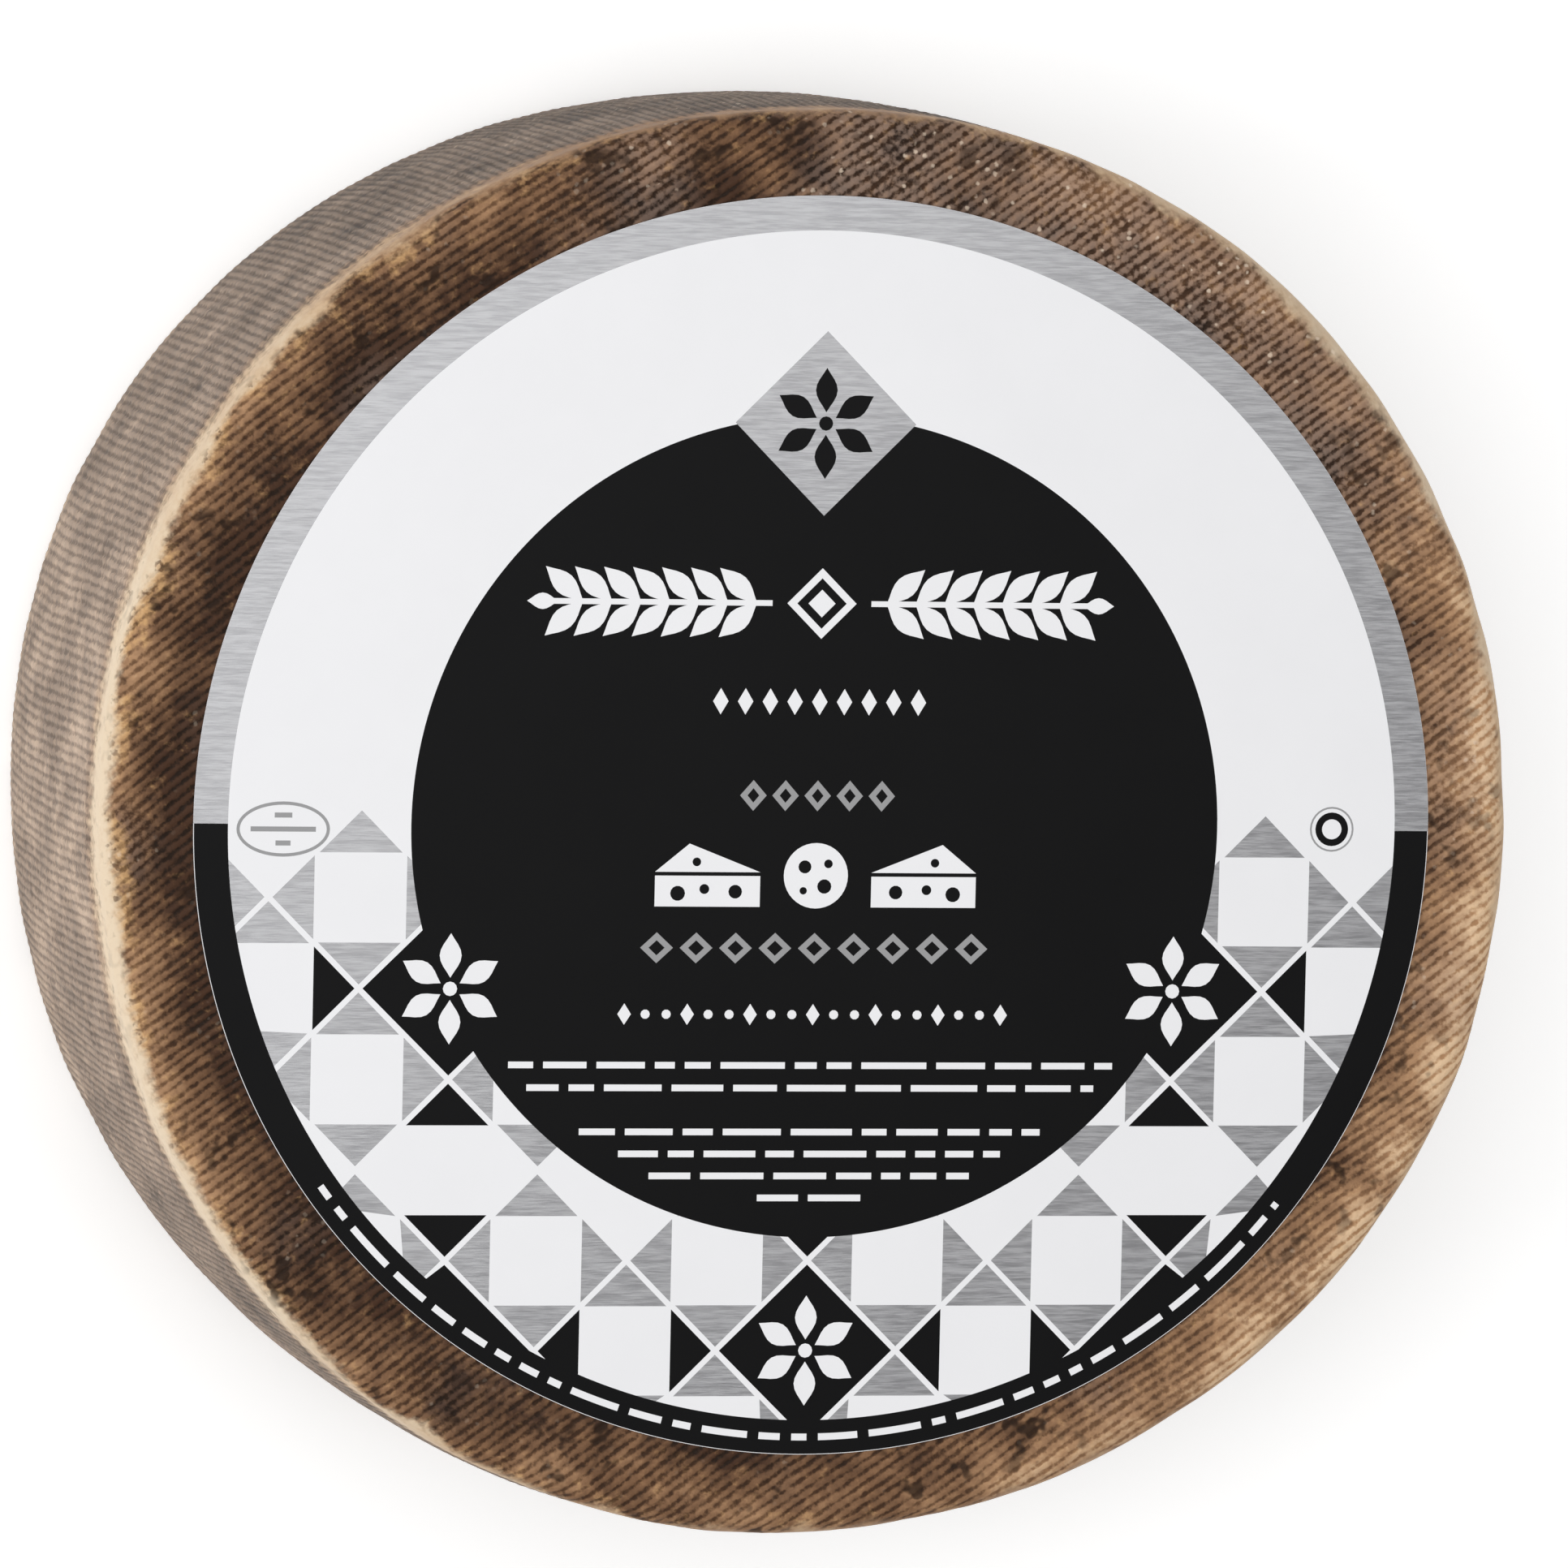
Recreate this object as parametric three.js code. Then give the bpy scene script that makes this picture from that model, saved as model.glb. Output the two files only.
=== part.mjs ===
// A wheel of aged, cloth-pressed cheese with a round label glued to its top face.
// Millimetres, +Z up. The wheel lies on its plain face: the origin is the middle of that face, the
// label's upright direction is +Y, and the label looks up along +Z.
import * as THREE from "three";

// The wheel. Each of these sizes can be set by itself.
const WHEEL_HEIGHT = 90; // from the board to the crest of the top edge
const EDGE_RADIUS = 102; // radius of the two edges that the mould's lid and floor press
const SIDE_BULGE = 1.2; // how far the side swells out past the edges, at mid height
const TOP_ROUNDING = 3.2; // radius of the worn top edge
const BASE_ROUNDING = 4; // radius of the edge that carries the wheel
const FACE_DISH = 0.9; // how far the pressed top face lies below the crest
const DISH_SLOPE = 6.5; // width of the slope from the crest down to the flat of the face

// The wheel isn't quite round: it sets a little oval, with soft corners left by the folds of the cloth.
const OUT_OF_ROUND = [
  { lobes: 2, swell: 0.4, peak: 16 },
  { lobes: 3, swell: 0.24, peak: 9 },
  { lobes: 4, swell: 0.4, peak: 55 },
]; // swell in millimetres, peak in degrees from +X

// The label, a disc of printed paper that was glued on by hand, a little off the middle. It is cut to
// leave a margin of bare rind on the flat of the face, wider than the shift, so it never climbs the slope.
const LABEL_MARGIN = 2.8;
const LABEL_THICKNESS = 0.2;
const GLUE_GAP = 0.1; // height of the glue under the label, left open
const LABEL_SHIFT_X = 0.9;
const LABEL_SHIFT_Y = -0.5;

// How finely the curves are cut into flats.
const TURN_STEPS = 96;
const ROUNDING_STEPS = 5;
const SIDE_STEPS = 6;
const SLOPE_STEPS = 3;

// Colours, in sRGB.
const RIND_COLOUR = 0x8c6a50;
const LABEL_COLOUR = 0xe9e9eb;

const degrees = THREE.MathUtils.degToRad;

// Places that follow from the sizes above.
const faceHeight = WHEEL_HEIGHT - FACE_DISH;
const crestRadius = EDGE_RADIUS - TOP_ROUNDING;
const flatRadius = crestRadius - DISH_SLOPE;
const labelRadius = flatRadius - LABEL_MARGIN;
const labelBase = faceHeight + GLUE_GAP;

// Points on an arc of the profile, where angle 0 looks outwards and 90 degrees looks up.
function roundedEdge(middleRadius, middleHeight, rounding, from, to) {
  const points = [];
  for (let i = 0; i <= ROUNDING_STEPS; i++) {
    const angle = degrees(from + ((to - from) * i) / ROUNDING_STEPS);
    const radius = middleRadius + rounding * Math.cos(angle);
    const height = middleHeight + rounding * Math.sin(angle);
    points.push(new THREE.Vector2(radius, height));
  }
  return points;
}

// The side between the two rounded edges, swelling by a parabola that peaks half way up.
function swollenSide() {
  const low = BASE_ROUNDING;
  const high = WHEEL_HEIGHT - TOP_ROUNDING;
  const points = [];
  for (let i = 1; i < SIDE_STEPS; i++) {
    const share = i / SIDE_STEPS;
    const swell = SIDE_BULGE * 4 * share * (1 - share);
    points.push(new THREE.Vector2(EDGE_RADIUS + swell, low + (high - low) * share));
  }
  return points;
}

// The slope inside the crest, an S that leaves the crest level and meets the flat face level.
function dishSlope() {
  const points = [];
  for (let i = 1; i <= SLOPE_STEPS; i++) {
    const share = i / SLOPE_STEPS;
    const drop = FACE_DISH * THREE.MathUtils.smoothstep(share, 0, 1);
    points.push(new THREE.Vector2(crestRadius - DISH_SLOPE * share, WHEEL_HEIGHT - drop));
  }
  return points;
}

// The half outline of the wheel, from the middle of its base round to the middle of its top face.
function wheelProfile() {
  const baseEdge = roundedEdge(EDGE_RADIUS - BASE_ROUNDING, BASE_ROUNDING, BASE_ROUNDING, -90, 0);
  const topEdge = roundedEdge(crestRadius, WHEEL_HEIGHT - TOP_ROUNDING, TOP_ROUNDING, 0, 90);
  return [
    new THREE.Vector2(0, 0),
    ...baseEdge,
    ...swollenSide(),
    ...topEdge,
    ...dishSlope(),
    new THREE.Vector2(0, faceHeight),
  ];
}

// How far the outline stands out from a true circle at an angle round the wheel.
function outOfRound(angle) {
  let swell = 0;
  for (const wave of OUT_OF_ROUND) {
    swell += wave.swell * Math.cos(wave.lobes * (angle - degrees(wave.peak)));
  }
  return swell;
}

// Turns a half outline about Z. A lathe turns about Y, so the solid is stood up afterwards.
function turned(profile) {
  const geometry = new THREE.LatheGeometry(profile, TURN_STEPS);
  geometry.rotateX(degrees(90));
  return geometry;
}

// Moves each point out or in with the outline, by a share that falls to nothing at the axis.
function pushOutOfRound(geometry) {
  const position = geometry.getAttribute("position");
  for (let i = 0; i < position.count; i++) {
    const x = position.getX(i);
    const y = position.getY(i);
    const stretch = 1 + outOfRound(Math.atan2(y, x)) / EDGE_RADIUS;
    position.setX(i, x * stretch);
    position.setY(i, y * stretch);
  }
  geometry.computeVertexNormals();
  return geometry;
}

// The paste and its rind are one piece.
function cheeseWheel() {
  const rind = new THREE.MeshStandardMaterial({ color: RIND_COLOUR, roughness: 0.75, metalness: 0 });
  const wheel = new THREE.Mesh(pushOutOfRound(turned(wheelProfile())), rind);
  wheel.name = "cheese_wheel";
  return wheel;
}

// A thin disc that lies in the dish, one glue gap above the flat of the face.
function label() {
  const profile = [
    new THREE.Vector2(0, 0),
    new THREE.Vector2(labelRadius, 0),
    new THREE.Vector2(labelRadius, LABEL_THICKNESS),
    new THREE.Vector2(0, LABEL_THICKNESS),
  ];
  const paper = new THREE.MeshStandardMaterial({ color: LABEL_COLOUR, roughness: 0.4, metalness: 0 });
  const disc = new THREE.Mesh(turned(profile), paper);
  disc.name = "label";
  disc.position.set(LABEL_SHIFT_X, LABEL_SHIFT_Y, labelBase);
  return disc;
}

const cheese = new THREE.Group();
cheese.add(cheeseWheel(), label());

export default cheese;
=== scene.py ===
# %% [markdown]
# A wheel of aged cheese with a printed label.
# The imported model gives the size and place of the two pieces: the wheel, which lies on its plain
# face, and the label glued on its top. This script gives them their looks. Everything is in metres,
# with +Z up, the origin in the middle of the base, and the label's upright direction along +Y.

# %% Load the frame
import math

import bpy
import numpy as np
from mathutils import Matrix, Vector
from mathutils.geometry import delaunay_2d_cdt


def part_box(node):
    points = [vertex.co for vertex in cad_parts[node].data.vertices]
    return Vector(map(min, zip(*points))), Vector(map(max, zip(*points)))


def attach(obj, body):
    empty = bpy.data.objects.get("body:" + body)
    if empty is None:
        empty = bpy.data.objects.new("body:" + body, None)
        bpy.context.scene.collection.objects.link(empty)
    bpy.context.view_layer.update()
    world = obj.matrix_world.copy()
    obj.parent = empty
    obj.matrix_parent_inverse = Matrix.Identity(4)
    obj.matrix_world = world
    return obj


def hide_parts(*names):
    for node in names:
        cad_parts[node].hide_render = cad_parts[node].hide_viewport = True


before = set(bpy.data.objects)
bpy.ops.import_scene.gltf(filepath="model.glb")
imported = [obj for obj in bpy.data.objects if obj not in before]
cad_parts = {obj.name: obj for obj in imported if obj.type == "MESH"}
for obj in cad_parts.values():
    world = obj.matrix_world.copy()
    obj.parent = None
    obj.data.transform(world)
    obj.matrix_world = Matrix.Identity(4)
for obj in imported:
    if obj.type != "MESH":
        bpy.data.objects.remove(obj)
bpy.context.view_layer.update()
wheel_low, wheel_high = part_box("cheese_wheel")
label_low, label_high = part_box("label")
scene = bpy.context.scene
print("wheel", [round(1000 * s, 1) for s in wheel_high - wheel_low], "mm")
print("label", [round(1000 * s, 1) for s in label_high - label_low], "mm")

# %% [markdown]
# The sizes that the two pieces share. The height, the label's radius and its place are read from the
# frame. The rest repeats the design: the radius of the two pressed edges, how round they are, how
# far the face is dished and how the outline strays from a true circle.

# %% Sizes
MM = 0.001
HEIGHT = wheel_high.z
EDGE_RADIUS = 102 * MM
SIDE_BULGE = 1.2 * MM
TOP_ROUNDING = 3.2 * MM
BASE_ROUNDING = 4 * MM
FACE_DISH = 0.9 * MM
DISH_SLOPE = 6.5 * MM
OUT_OF_ROUND = ((2, 0.4 * MM, 16), (3, 0.24 * MM, 9), (4, 0.4 * MM, 55))  # lobes, swell, peak angle

CREST_RADIUS = EDGE_RADIUS - TOP_ROUNDING
BASE_FLAT_RADIUS = EDGE_RADIUS - BASE_ROUNDING
LABEL_RADIUS = (label_high.x - label_low.x) / 2
LABEL_MIDDLE = (label_low + label_high) / 2
print("crest radius", CREST_RADIUS, "label radius", round(LABEL_RADIUS, 4))

# %% [markdown]
# Where the camera stands is settled first, because it is fixed by the view and not by the looks. It
# looks down on the lying wheel, 12.8 degrees off the upright, from the label's left and a little
# above it, through a long lens that hardly narrows the far side. It is rolled by 1.3 degrees.

# %% Camera
TILT = math.radians(12.78)
TOWARDS_TOP = math.radians(19.05)
ROLL = math.radians(1.29)
DISTANCE = 1.8
LENS = 291.68944
SENSOR = 36
AIM_LEFT = 3.93 * MM
AIM_UP = 5.68 * MM


def add_object(name, data):
    """An object with this data, in the scene."""
    made = bpy.data.objects.new(name, data)
    scene.collection.objects.link(made)
    return made


def camera_axes():
    """The way from the wheel to the camera, and the view's right and up, turned by the roll."""
    back = Vector((
        -math.sin(TILT) * math.cos(TOWARDS_TOP),
        math.sin(TILT) * math.sin(TOWARDS_TOP),
        math.cos(TILT),
    ))
    level = Vector((0, 1, 0)).cross(back).normalized()
    upright = back.cross(level)
    right = level * math.cos(ROLL) + upright * math.sin(ROLL)
    up = upright * math.cos(ROLL) - level * math.sin(ROLL)
    return back, right, up


def add_camera():
    """A camera at DISTANCE along back, aimed a little left of and above the middle of the top face."""
    back, right, up = camera_axes()
    data = bpy.data.cameras.new("camera")
    data.sensor_width = SENSOR
    data.lens = LENS
    data.clip_end = 50
    camera = add_object("camera", data)
    aim = Vector((0, 0, HEIGHT)) - right * AIM_LEFT + up * AIM_UP
    turn = Matrix((right, up, back)).transposed()
    camera.matrix_world = Matrix.Translation(aim + back * DISTANCE) @ turn.to_4x4()
    scene.camera = camera
    return camera


camera = add_camera()
print("lens", round(camera.data.lens, 1), "mm, camera at", [round(c, 3) for c in camera.location])

# %% [markdown]
# Small, slow unevenness turns up everywhere on a thing that was pressed by hand: in the outline, in
# the run of the cloth's threads, in how far the mould darkened the rind. One function makes it all.
# It adds up a few plane waves of about one length in random directions. That is smooth, has no
# seam anywhere in space, and gives the same values each run because its numbers are seeded.

# %% Slow unevenness
WAVES = 14


def unevenness(points, wavelength, seed):
    """The sum of WAVES sines, sin(direction . point * 2 pi / length + phase), over sqrt(WAVES)."""
    rng = np.random.default_rng(seed)
    directions = rng.normal(size=(WAVES, 3))
    directions /= np.linalg.norm(directions, axis=1, keepdims=True)
    lengths = wavelength * rng.uniform(0.75, 1.6, WAVES)
    phases = rng.uniform(0, 2 * np.pi, WAVES)
    turns = points @ (directions / lengths[:, None]).T
    return np.sin(2 * np.pi * turns + phases).sum(axis=1) / np.sqrt(WAVES)


def direction(degrees):
    """(cos, sin) of an angle."""
    return np.array([math.cos(math.radians(degrees)), math.sin(math.radians(degrees))])


def smoothstep(low, high, values):
    """0 below low, 1 above high, and 3t^2 - 2t^3 between them."""
    t = np.clip((values - low) / (high - low), 0, 1)
    return t * t * (3 - 2 * t)


# %% [markdown]
# The rind. The curd is pressed in a woven mould, so every face carries the print of the cloth: ribs
# about a millimetre and a half apart. A bump in the material could fake them, but then the outline and the
# mesh would stay smooth, so the ribs are real. They run straight across the top and the base, and up the
# side. A grid that follows the ribs is cheap: it needs several points across each rib, but only a few
# along it. So the top and the base are grids of chords laid along the ribs, the side is a grid of
# columns, five to a rib, and a strip of triangles sews each face to the side.

# %% Grids that follow the cloth
FACE_PITCH = 1.4 * MM
SIDE_RIBS = 430
RIB_HEIGHT = 0.085 * MM
RIB_COS, RIB_SIN = direction(36)  # along the ribs of the faces, from +X
RIB_BOW = 4.0 * MM  # how far the face's ribs bend, so that they lie steeper at the left and right
THREAD_DRIFT = 0.3 * MM
TOP_STEPS = 6
BASE_STEPS = 4
SIDE_STEPS = 5
TOP_CHORD_POINTS = 37
BASE_CHORD_POINTS = 31


def chord_grid(radius, steps_per_rib, chord_points):
    """Points of a disc on chords along the ribs. The chord at height v from the middle is
    2 sqrt(radius^2 - v^2) long, and its points crowd towards both ends as a sine does. Returns x and y,
    each an array of chords by points."""
    step = FACE_PITCH / steps_per_rib
    chords = int((radius - 0.3 * MM) / step)
    across = np.arange(-chords, chords + 1)[:, None] * step
    share = np.sin(np.linspace(-np.pi / 2, np.pi / 2, chord_points))[None, :]
    along = np.sqrt(radius**2 - across**2) * share
    x = along * RIB_COS - across * RIB_SIN
    y = along * RIB_SIN + across * RIB_COS
    return x, y


top_x, top_y = chord_grid(CREST_RADIUS, TOP_STEPS, TOP_CHORD_POINTS)
base_x, base_y = chord_grid(BASE_FLAT_RADIUS, BASE_STEPS, BASE_CHORD_POINTS)
print("top grid", top_x.shape, "base grid", base_x.shape)

# %% [markdown]
# The outline from the crest down to the base is a profile: an arc for the worn top edge, a side that
# swells by a parabola, and an arc for the edge that carries the wheel. The side's columns are
# that profile carried round the wheel. They lean a little as they go down, because the cloth
# never hangs quite straight.

# %% Profile of the edge and side
TOP_BANDS = 8
SIDE_BANDS = 9
BASE_BANDS = 3
SIDE_LEAN = -1.7 * MM  # how far round the wheel a rib wanders from the top edge to the base


def arc_points(radius, height, rounding, from_degrees, to_degrees, bands):
    """Points of an arc about (radius, height): radius + r cos(angle), height + r sin(angle)."""
    angle = np.radians(np.linspace(from_degrees, to_degrees, bands + 1))
    return np.stack([radius + rounding * np.cos(angle), height + rounding * np.sin(angle)], axis=1)


def side_profile():
    """Radius and height of each row of the side, from just outside the crest to just outside the
    flat of the base. The side between the arcs swells by 4 bulge t (1 - t)."""
    high, low = HEIGHT - TOP_ROUNDING, BASE_ROUNDING
    share = np.linspace(0, 1, SIDE_BANDS + 1)[1:-1]
    top = arc_points(CREST_RADIUS, high, TOP_ROUNDING, 90, 0, TOP_BANDS)[1:]
    swelling = EDGE_RADIUS + SIDE_BULGE * 4 * share * (1 - share)
    middle = np.stack([swelling, high + (low - high) * share], axis=1)
    base = arc_points(BASE_FLAT_RADIUS, low, BASE_ROUNDING, 0, -90, BASE_BANDS)[:-1]
    return np.concatenate([top, middle, base])


profile = side_profile()
steps_down = np.linalg.norm(np.diff(profile, axis=0, prepend=[[CREST_RADIUS, HEIGHT]]), axis=1)
path_down = np.cumsum(steps_down)
columns = SIDE_RIBS * SIDE_STEPS
turn = 2 * np.pi * np.arange(columns) / columns
lean = SIDE_LEAN / EDGE_RADIUS * (HEIGHT - profile[:, 1]) / HEIGHT
side_angle = turn[None, :] + lean[:, None]
side_x = profile[:, :1] * np.cos(side_angle)
side_y = profile[:, :1] * np.sin(side_angle)
side_z = np.repeat(profile[:, 1:], columns, axis=1)
side_path = np.repeat(path_down[:, None], columns, axis=1)
print("side grid", side_x.shape)

# %% [markdown]
# All the points go into one array, in three blocks: top, side and base. Most of what follows depends
# on how far a point lies from the crest along the surface: below zero on the face, then over
# the rounded edge, then down the side.

# %% Points of the rind
top_points = np.stack([top_x.ravel(), top_y.ravel(), np.full(top_x.size, HEIGHT)], axis=1)
side_points = np.stack([side_x.ravel(), side_y.ravel(), side_z.ravel()], axis=1)
base_points = np.stack([base_x.ravel(), base_y.ravel(), np.zeros(base_x.size)], axis=1)
plain_points = np.concatenate([top_points, side_points, base_points])
side_first = len(top_points)
base_first = side_first + len(side_points)
number = np.arange(len(plain_points))
is_top = number < side_first
is_base = number >= base_first
is_side = ~(is_top | is_base)
radius = np.hypot(plain_points[:, 0], plain_points[:, 1])
outward = plain_points * [1, 1, 0] / np.maximum(radius, MM)[:, None]
on_edge = outward * EDGE_RADIUS
from_crest = np.where(is_top, radius - CREST_RADIUS, 0)
from_crest[is_side] = side_path.ravel()
from_crest[is_base] = path_down[-1] + BASE_FLAT_RADIUS - radius[is_base]
ARC_END = TOP_ROUNDING * math.pi / 2


def toward(degrees):
    """1 for points that lie in this direction from the axis, -1 for points opposite."""
    return outward[:, :2] @ direction(degrees)


# %% [markdown]
# The cloth is thought of as lying flat on the face and wrapping over the rounded edge, so a point of
# the edge takes the place that its path from the crest would reach on the flat. A slight bow and a slow
# drift bend the threads. The side has its own cloth, counted in ribs round the wheel.

# %% Place on the cloth
def face_cloth():
    """The place in ribs (across, along) of every point on the cloth of the face."""
    reach = np.where(is_base, radius, CREST_RADIUS + np.minimum(from_crest, 2 * ARC_END))
    x, y = (outward[:, :2] * reach[:, None]).T
    along = x * RIB_COS + y * RIB_SIN
    across = y * RIB_COS - x * RIB_SIN
    bow = RIB_BOW * along**2 * across / EDGE_RADIUS**3
    drift = THREAD_DRIFT * unevenness(on_edge * (reach / EDGE_RADIUS)[:, None], 40 * MM, 5)
    return np.stack([across + bow + drift, along], axis=1) / FACE_PITCH


def side_cloth(column):
    """The place in ribs (round, down) on the side's cloth, for a count of columns per side point."""
    drift = 0.16 * unevenness(side_points, 60 * MM, 8)
    return np.stack([column / SIDE_STEPS + drift, side_path.ravel() / FACE_PITCH], axis=1)


face_place = face_cloth()
side_place = side_cloth(np.tile(np.arange(columns), len(profile)))

# %% [markdown]
# Wear and ripening. The very corner is always rubbed smooth. At the label's left the bare band is
# widest, and warm yellow paste shows through just inside it. The opposite corner is rubbed in patches
# of tan. The tone holds the rind's colour together with painted light and shade: nearly black beside the
# label at the upper left, partly ripening and partly painted shade, tan towards the lower right, and lighter
# towards the edge everywhere. The side is palest at the left, partly its colour and partly painted light,
# and the bare paste is lightest at the left, partly painted light too.

# %% Wear, tone, and painted light and shade
def worn_corner():
    """1 on the rubbed corner, 0 on the cloth's print: a step up at the inner margin times a step down
    at the outer margin, and a band round the base edge."""
    outer = (6.6 + 0.5 * unevenness(on_edge, 16 * MM, 4)) * MM
    corner = smoothstep(-3.2 * MM, 1.4 * MM, from_crest - bare_from)
    corner *= smoothstep(-1.3 * MM, 0.9 * MM, outer - from_crest)
    base_edge = path_down[-1] - BASE_ROUNDING * 0.9
    base = 0.4 * np.exp(-(((from_crest - base_edge) / (2.2 * MM)) ** 2))
    return np.maximum(corner, base)


def rind_tone_and_shade():
    """How light the rind is, about 0..1, with painted light and shade: a slope across the face, dark at the
    left partly as painted shade, a rise towards the edge strongest at the left and the lower right, and slow
    unevenness."""
    near_edge = np.clip((from_crest + 8.5 * MM) / (9.5 * MM), 0, 1)
    rise = 0.17 + 0.44 * np.clip(toward(170), 0, 1) ** 2 + 0.24 * np.clip(toward(310), 0, 1)
    pale_rim = smoothstep(-4 * MM, 1.5 * MM, from_crest) * np.clip(toward(0), 0, 1) ** 1.2
    pale_rim *= 0.14 + 0.20 * unevenness(on_edge, 13 * MM, 14)
    # painted shade: the slope darkens the left of the face, partly ripening and partly shade where the face
    # turns from the light
    face = 0.15 + 0.26 * toward(352) + rise * near_edge + pale_rim
    face += (0.04 + 0.10 * near_edge) * np.clip(toward(217), 0, 1) ** 6
    face -= 0.09 * np.clip(toward(70), 0, 1) ** 4 + 0.06 * np.clip(toward(288), 0, 1) ** 4
    under_rim = np.exp(-np.clip(from_crest - 7 * MM, 0, None) / (7 * MM)) * np.clip(toward(185), 0, 1)
    # painted light and shade: the side is palest at the left and darkest towards the top, partly its colour
    # and partly light and shade
    flank = 0.18 + 0.40 * np.clip(toward(176), 0, 1) ** 3 + 0.20 * np.clip(toward(345), 0, 1)
    flank += 0.14 * under_rim
    underside = np.full(len(radius), 0.5)
    tone_and_shade = np.where(is_base, underside, face + (flank - face) * side_share)
    patches = 0.09 * unevenness(plain_points, 24 * MM, 9) + 0.08 * unevenness(plain_points, 8 * MM, 10)
    return tone_and_shade + patches


leftward = np.clip(toward(168), 0, 1) ** 2
bare_from = 4.0 - 1.6 * leftward + 0.9 * np.clip(toward(122), 0, 1) ** 2
far_corner = np.clip(toward(42), 0, 1) ** 4
bare_from = (bare_from - 1.7 * far_corner + 0.7 * unevenness(on_edge, 9 * MM, 3)) * MM
side_start = from_crest + 0.5 * MM * unevenness(on_edge, 9 * MM, 12)
side_share = smoothstep(6.1 * MM, 7.3 * MM, side_start) * (~is_base)
wear = worn_corner()
tone_and_shade = rind_tone_and_shade()
# the bare paste's lightness: partly its colour, and at the left partly painted light where the corner faces
# the light
ivory_and_light = 0.24 + 0.84 * np.clip(toward(190), 0, 1) ** 1.5 + 0.26 * np.clip(toward(345), 0, 1)
ivory_and_light = np.clip(ivory_and_light + 0.42 * far_corner + 0.06 * unevenness(on_edge, 13 * MM, 16), 0, 1)
warmth = smoothstep(-5.5 * MM, 0.8 * MM, from_crest - bare_from) * (0.30 + 0.70 * leftward)
warmth *= np.clip(0.8 + 0.5 * unevenness(on_edge, 7 * MM, 15), 0, 1) * (1 - side_share) * (~is_base)
# where the cloth's cross threads show, strongest at the upper right; the painted sheen and glints follow it
# too
weave_sheen_and_glints = 0.10 + 0.38 * np.clip(toward(62), 0, 1) ** 2
weave_sheen_and_glints = np.clip(weave_sheen_and_glints + 0.12 * unevenness(plain_points, 20 * MM, 13), 0, 1)
print("worn share of points", round(float((wear > 0.5).mean()), 3))
print("tone_and_shade", np.round(np.percentile(tone_and_shade, (5, 50, 95)), 2))

# %% [markdown]
# The plain points are now moved: down into the dish, in and out with the ribs and dents, and outwards
# with the uneven outline. All of this is geometry, so it shows in the outline too.

# %% Shape of the rind
def out_of_round(x, y):
    """swell * cos(lobes * (angle - peak)), added up over the lobes."""
    angle = np.arctan2(y, x)
    return sum(swell * np.cos(lobes * (angle - math.radians(peak))) for lobes, swell, peak in OUT_OF_ROUND)


def shaped_rind():
    """The points with the dish, the ribs, the dents and the outline put in. A rib rises as
    cos(2 pi place), along the normal of the plain shape, and fades where the corner is worn."""
    points = plain_points.copy()
    dish = FACE_DISH * smoothstep(0, DISH_SLOPE, CREST_RADIUS - radius)
    points[is_top, 2] -= dish[is_top]
    on_arc = is_side & (from_crest < ARC_END + 0.01 * MM)
    ribs = face_place[:, 0].copy()
    ribs[is_side] = side_place[:, 0]
    ribs[on_arc] = face_place[on_arc, 0]
    rise = RIB_HEIGHT * np.cos(2 * np.pi * ribs) * (1 - wear)
    dents = 0.15 * MM * unevenness(plain_points, 32 * MM, 6)
    dents += 0.06 * MM * unevenness(plain_points, 10 * MM, 7)
    dents *= np.where(is_side, 1, smoothstep(91 * MM, 97 * MM, radius)) * (~is_base)
    slope = np.clip(from_crest / TOP_ROUNDING, 0, math.pi / 2)
    lift = np.where(is_base, rise - RIB_HEIGHT, rise + dents)
    normal = outward * np.sin(slope)[:, None]
    normal[:, 2] = np.cos(slope)
    normal[is_base] = (0, 0, -1)
    points += lift[:, None] * normal
    swell = 1 + out_of_round(points[:, 0], points[:, 1]) / EDGE_RADIUS
    points[:, :2] *= swell[:, None]
    return points


rind_points = shaped_rind()
print("rind spans", np.round(1000 * (rind_points.max(axis=0) - rind_points.min(axis=0)), 1), "mm")

# %% [markdown]
# Faces come next. A grid gives its own quads. A strip that sews two rings with different numbers of
# points walks round both by angle: each step on one ring makes a triangle with the point last
# passed on the other. Sorting does the walk for the whole ring at once.

# %% Faces of the rind
def grid_quads(rows, points, first, closed):
    """Quads between neighbouring rows, the last point joining the first where the rows are closed.
    Returns the point numbers, and the row and the column of each corner. Columns count on past the seam."""
    across = np.arange(points if closed else points - 1)
    row, column = np.meshgrid(np.arange(rows - 1), across, indexing="ij")
    row = row.ravel()[:, None] + [0, 1, 1, 0]
    column = column.ravel()[:, None] + [0, 0, 1, 1]
    return first + row * points + column % points, row, column


def sewn_strip(inner, outer):
    """Triangles between two rings of point numbers round the same axis, facing up: each inner step
    takes the outer point last passed, and each outer step the inner one."""
    def by_angle(ring):
        angle = np.arctan2(plain_points[ring, 1], plain_points[ring, 0])
        order = np.argsort(angle, kind="stable")
        return ring[order], angle[order]

    inner, inner_angle = by_angle(inner)
    outer, outer_angle = by_angle(outer)
    last_outer = outer[np.searchsorted(outer_angle, inner_angle, side="right") - 1]
    last_inner = inner[np.searchsorted(inner_angle, outer_angle, side="left") - 1]
    inner_steps = np.stack([np.roll(inner, 1), last_outer, inner], axis=1)
    outer_steps = np.stack([np.roll(outer, 1), outer, last_inner], axis=1)
    return np.concatenate([inner_steps, outer_steps])


def rim_of_grid(rows, points, first):
    """The point numbers round a grid of chords: the ends of every chord, and the outermost chords."""
    grid = first + np.arange(rows * points).reshape(rows, points)
    return np.concatenate([grid[:, 0], grid[:, -1], grid[0, 1:-1], grid[-1, 1:-1]])


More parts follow.
